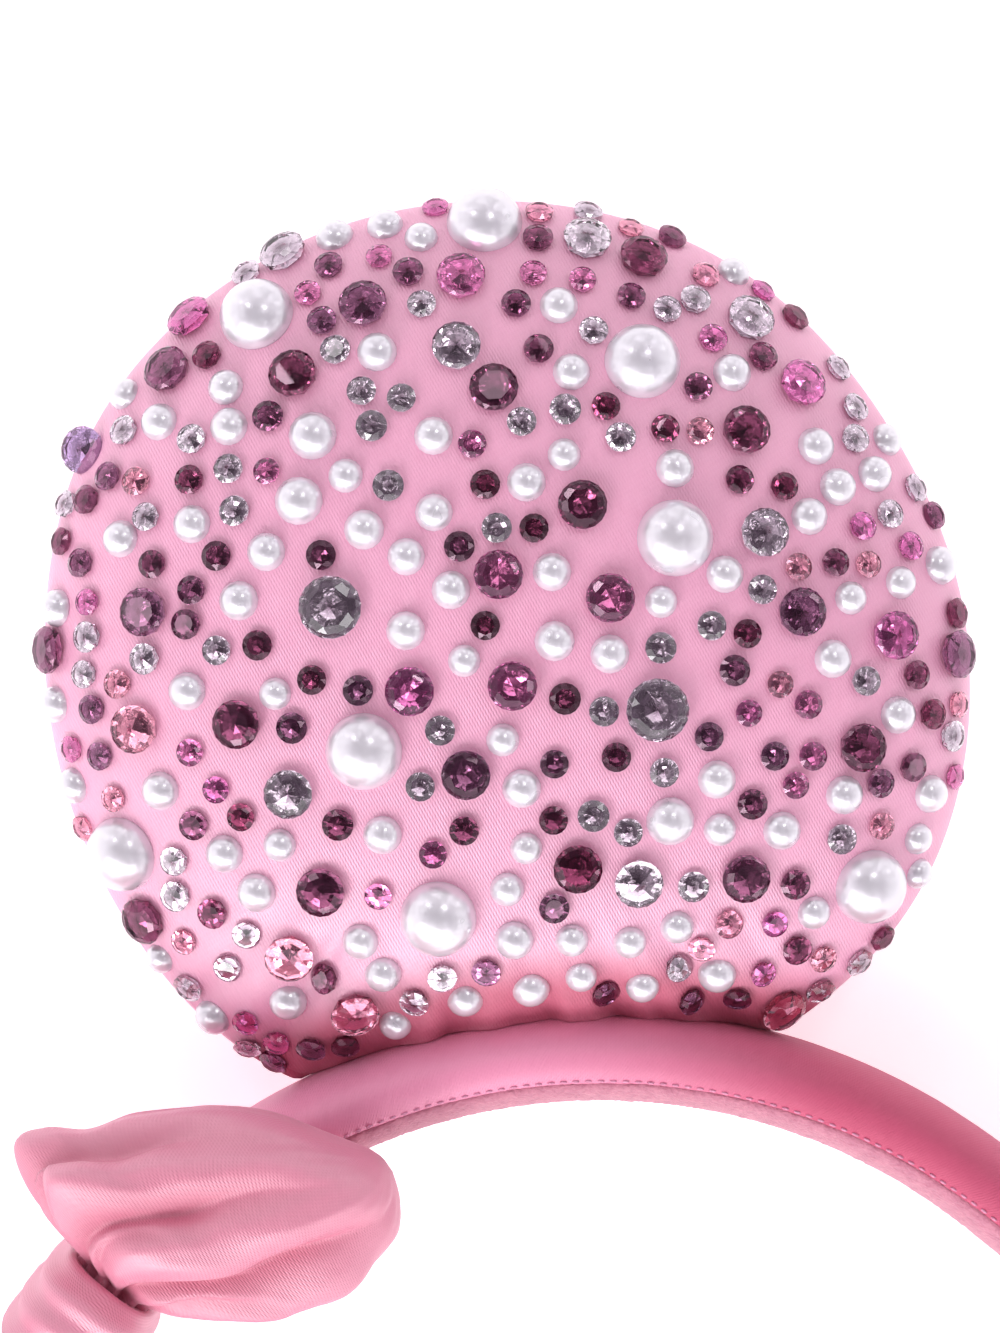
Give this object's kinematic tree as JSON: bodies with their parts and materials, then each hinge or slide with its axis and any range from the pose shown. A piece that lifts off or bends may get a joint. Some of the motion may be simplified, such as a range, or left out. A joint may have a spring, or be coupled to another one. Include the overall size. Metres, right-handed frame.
{
  "type": "mouse ear headband",
  "caption": "Padded satin headband with two round padded ears covered in half pearls and cut crystals, and a gathered bow.",
  "frame": {"origin": "middle of the underside, as the headband lies on its back", "axes": "+Z out of the headband's front, +Y from the band's tips to the ears' tops, +X towards the right ear as seen from the front"},
  "size_m": [0.254, 0.177, 0.0323],
  "materials": {
    "pink_satin": "light pink satin with a fine diagonal weave",
    "bow_satin": "soft pink satin, slightly duskier than the ears",
    "rose_plush": "short fuzzy pile",
    "pearl": "white nacre lacquer",
    "crystal_clear": "clear cut glass on silver foil",
    "crystal_amethyst": "dark amethyst cut glass on foil",
    "crystal_fuchsia": "fuchsia cut glass on foil"
  },
  "bodies": {
    "root": {"band_cover": "pink_satin", "band_lining": "rose_plush", "ear_right": "pink_satin", "ear_left": "pink_satin", "bow_loops": "bow_satin", "bow_knot": "bow_satin", "pearl_right_01": "pearl", "pearl_right_02": "pearl", "pearl_right_03": "pearl", "pearl_right_04": "pearl", "pearl_right_05": "pearl", "pearl_right_06": "pearl", "pearl_right_07": "pearl", "pearl_right_08": "pearl", "crystal_right_01": "crystal_clear", "crystal_right_02": "crystal_clear", "crystal_right_03": "crystal_amethyst", "crystal_right_04": "crystal_amethyst", "crystal_right_05": "crystal_amethyst", "crystal_right_06": "crystal_amethyst", "crystal_right_07": "crystal_clear", "crystal_right_08": "crystal_fuchsia", "crystal_right_09": "crystal_fuchsia", "crystal_right_10": "crystal_amethyst", "crystal_right_11": "crystal_fuchsia", "crystal_right_12": "crystal_fuchsia", "pearl_left_01": "pearl", "pearl_left_02": "pearl", "pearl_left_03": "pearl", "pearl_left_04": "pearl", "pearl_left_05": "pearl", "pearl_left_06": "pearl", "pearl_left_07": "pearl", "pearl_left_08": "pearl", "crystal_left_01": "crystal_clear", "crystal_left_02": "crystal_clear", "crystal_left_03": "crystal_amethyst", "crystal_left_04": "crystal_amethyst", "crystal_left_05": "crystal_amethyst", "crystal_left_06": "crystal_amethyst", "crystal_left_07": "crystal_clear", "crystal_left_08": "crystal_fuchsia", "crystal_left_09": "crystal_fuchsia", "crystal_left_10": "crystal_amethyst", "crystal_left_11": "crystal_fuchsia", "crystal_left_12": "crystal_fuchsia"}
  },
  "joints": []
}
